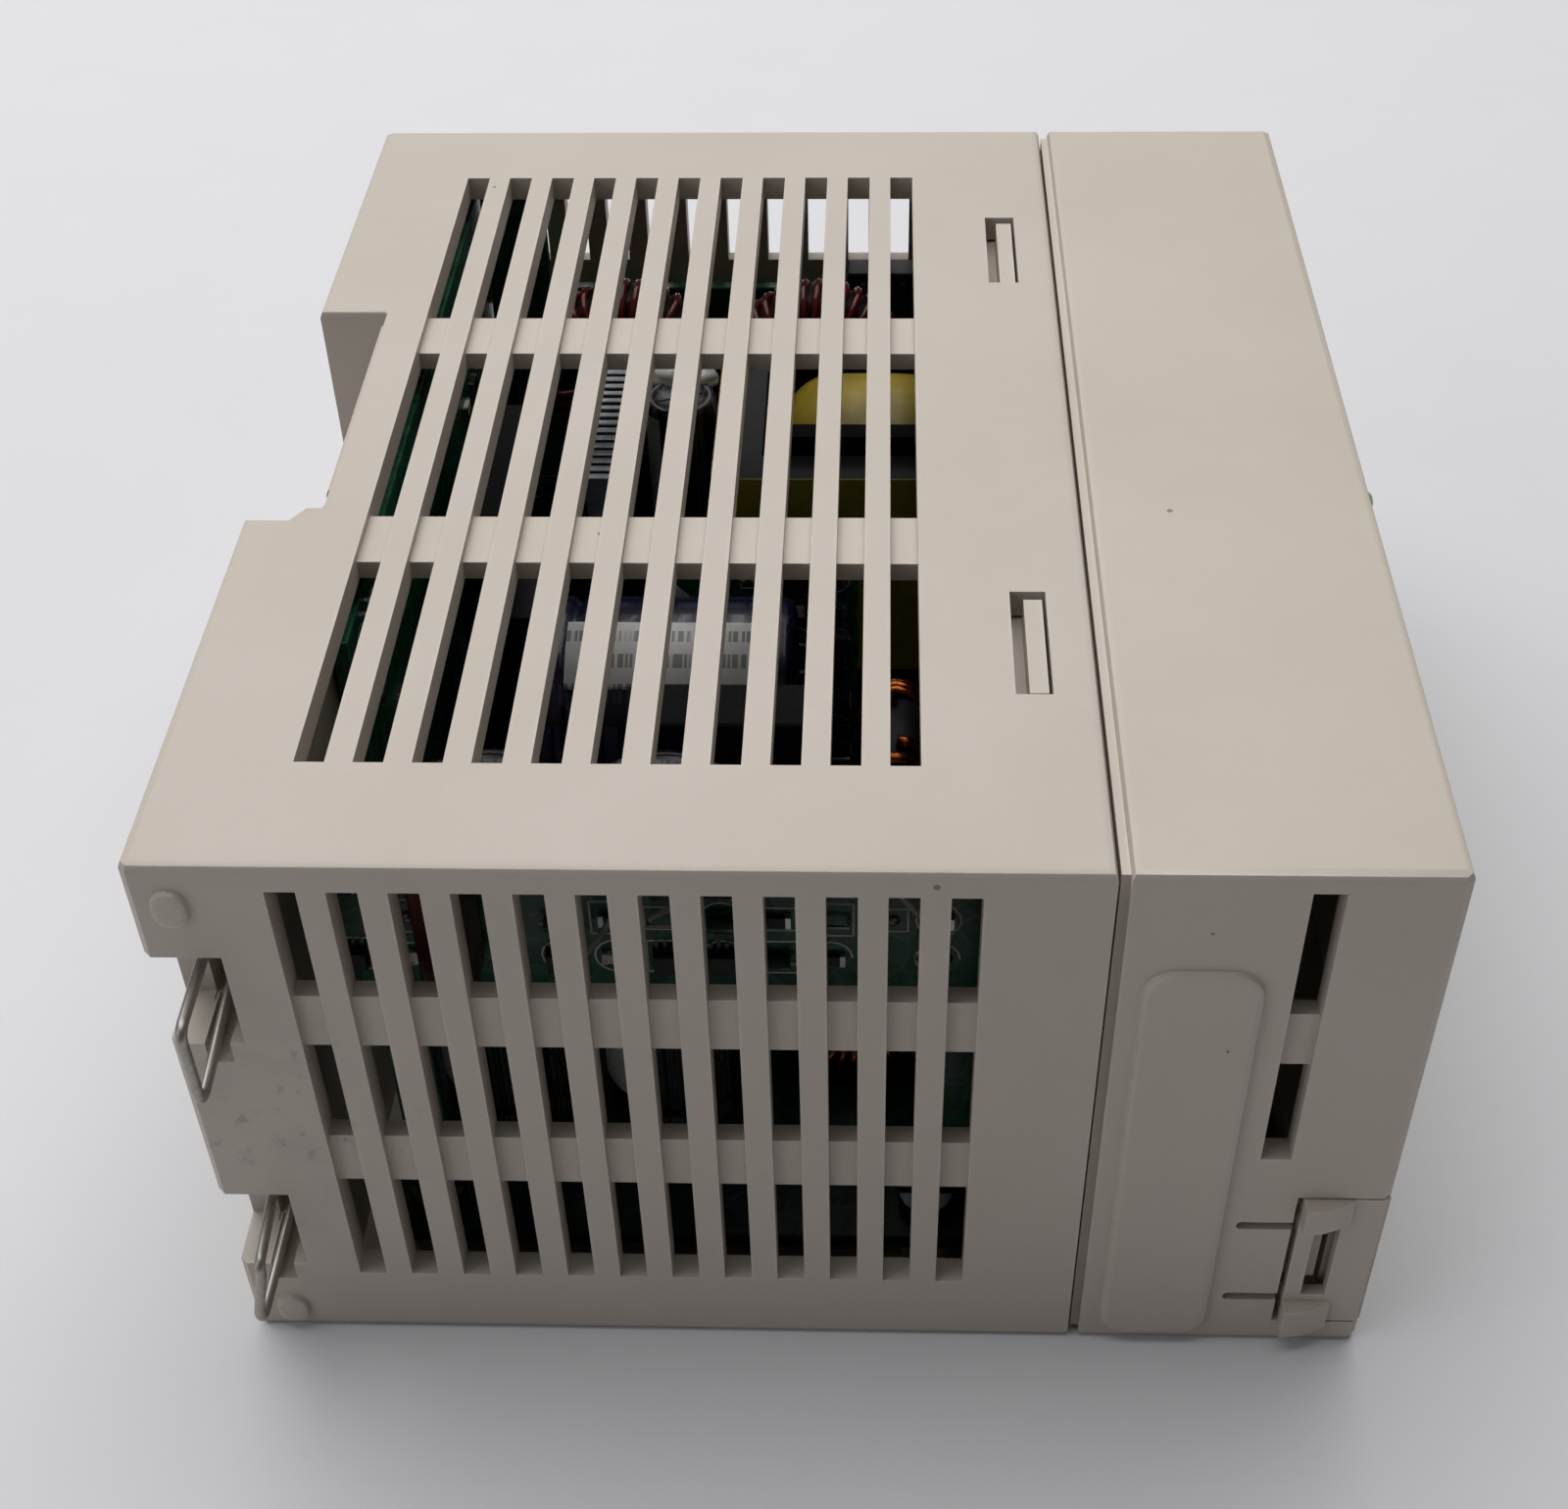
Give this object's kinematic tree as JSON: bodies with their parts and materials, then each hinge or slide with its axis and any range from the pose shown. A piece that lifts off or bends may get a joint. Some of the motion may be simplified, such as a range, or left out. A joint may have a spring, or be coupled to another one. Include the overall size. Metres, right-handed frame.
{
  "type": "din rail power supply",
  "caption": "Slotted plastic power supply module for a 35 mm rail, with sprung rail latches on wire pull loops, hinged terminal doors and fitted electronics.",
  "frame": {"origin": "under the middle of the part's bounding box, on the side face that it lies on", "axes": "+X from the rail towards the front, +Y from the bottom of the unit to its top, +Z from its right side to its left side"},
  "size_m": [0.105, 0.1328, 0.06],
  "materials": {
    "case": "fine-textured moulded ABS blend, warm light grey",
    "latch": "fine-textured moulded plastic, warm light grey",
    "door": "fine-textured moulded plastic, warm light grey",
    "steel": "satin bent wire",
    "spring": "bright spring wire",
    "board": "green solder mask over glass epoxy",
    "blue_sleeve": "shrunk dark blue sleeve",
    "black_sleeve": "shrunk black sleeve with a bare aluminium top",
    "red_film": "red-brown dipped coating",
    "grey_film": "dark grey moulded box",
    "anodised": "black anodised sheet",
    "blue_disc": "blue epoxy dip",
    "green_disc": "dark green epoxy dip",
    "ferrite": "sintered dark grey ferrite",
    "bobbin": "black moulded plastic",
    "tape": "yellow polyester tape",
    "red_wire": "dark red enamelled winding",
    "copper": "enamelled copper winding",
    "aluminium": "bare rolled sheet",
    "chip": "black moulded package",
    "glass": "clear tube",
    "terminal": "dark moulded terminal block",
    "screw": "nickel-plated steel",
    "lens": "green diffused lens",
    "trimmer": "blue moulded body",
    "rotor": "off-white moulded rotor"
  },
  "bodies": {
    "case": {"rear_case": "case", "front_cover": "case", "latch_spring_right": "spring", "latch_spring_left": "spring", "input_terminal_block": "terminal", "output_terminal_block": "terminal", "main_board": "board", "rear_board": "board", "control_board": "board", "front_board": "board", "driver_board": "board", "power_lamp": "lens", "trimmer_body": "trimmer", "bulk_capacitor": "blue_sleeve", "capacitor_saddle": "bobbin", "filter_capacitor_1": "black_sleeve", "filter_capacitor_2": "black_sleeve", "output_capacitor": "black_sleeve", "filter_capacitor_3": "black_sleeve", "choke_carrier": "bobbin", "filter_board": "board", "film_capacitor": "red_film", "mains_filter_capacitor": "grey_film", "transformer_core": "ferrite", "transformer_bobbin": "bobbin", "transformer_winding": "tape", "line_choke_1": "red_wire", "line_choke_2": "red_wire", "output_inductor": "copper", "filter_toroid": "copper", "primary_heat_sink": "anodised", "secondary_heat_sink": "aluminium", "switching_transistor": "chip", "rectifier_diode": "chip", "bridge_rectifier": "chip", "fuse": "glass", "fuse_clip_1": "screw", "fuse_clip_2": "screw", "surge_varistor": "blue_disc", "inrush_thermistor": "green_disc", "sensing_module": "aluminium", "input_terminal_screw_1": "screw", "input_terminal_screw_2": "screw", "input_terminal_screw_3": "screw", "input_terminal_screw_4": "screw", "output_terminal_screw_1": "screw", "output_terminal_screw_2": "screw", "output_terminal_screw_3": "screw", "output_terminal_screw_4": "screw", "board_screw_1": "screw", "board_screw_2": "screw", "board_screw_3": "screw", "board_screw_4": "screw"},
    "latch_right": {"rail_latch_right": "latch", "pull_loop_right": "steel"},
    "latch_left": {"rail_latch_left": "latch", "pull_loop_left": "steel"},
    "input_door": {"input_terminal_door": "door"},
    "output_door": {"output_terminal_door": "door"},
    "trimmer": {"voltage_trimmer": "rotor"}
  },
  "joints": [
    {"name": "right_latch_slide", "type": "slide", "parent": "case", "child": "latch_right", "axis": [0, -1, 0], "range_m": [0, 0.004], "stiffness_N_per_m": 1500, "springref_m": -0.003, "deforming": ["latch_spring_right"]},
    {"name": "left_latch_slide", "type": "slide", "parent": "case", "child": "latch_left", "axis": [0, -1, 0], "range_m": [0, 0.004], "stiffness_N_per_m": 1500, "springref_m": -0.003, "deforming": ["latch_spring_left"]},
    {"name": "input_door_hinge", "type": "hinge", "parent": "case", "child": "input_door", "pos_m": [0.0487, -0.01813, 0.012], "axis": [0, 0, 1], "range_deg": [0, 95]},
    {"name": "output_door_hinge", "type": "hinge", "parent": "case", "child": "output_door", "pos_m": [0.0487, 0.02287, 0.012], "axis": [0, 0, -1], "range_deg": [0, 95]},
    {"name": "voltage_trim", "type": "hinge", "parent": "case", "child": "trimmer", "pos_m": [0.0485, 0.00587, 0.047], "axis": [1, 0, 0], "range_deg": [-135, 135]}
  ]
}
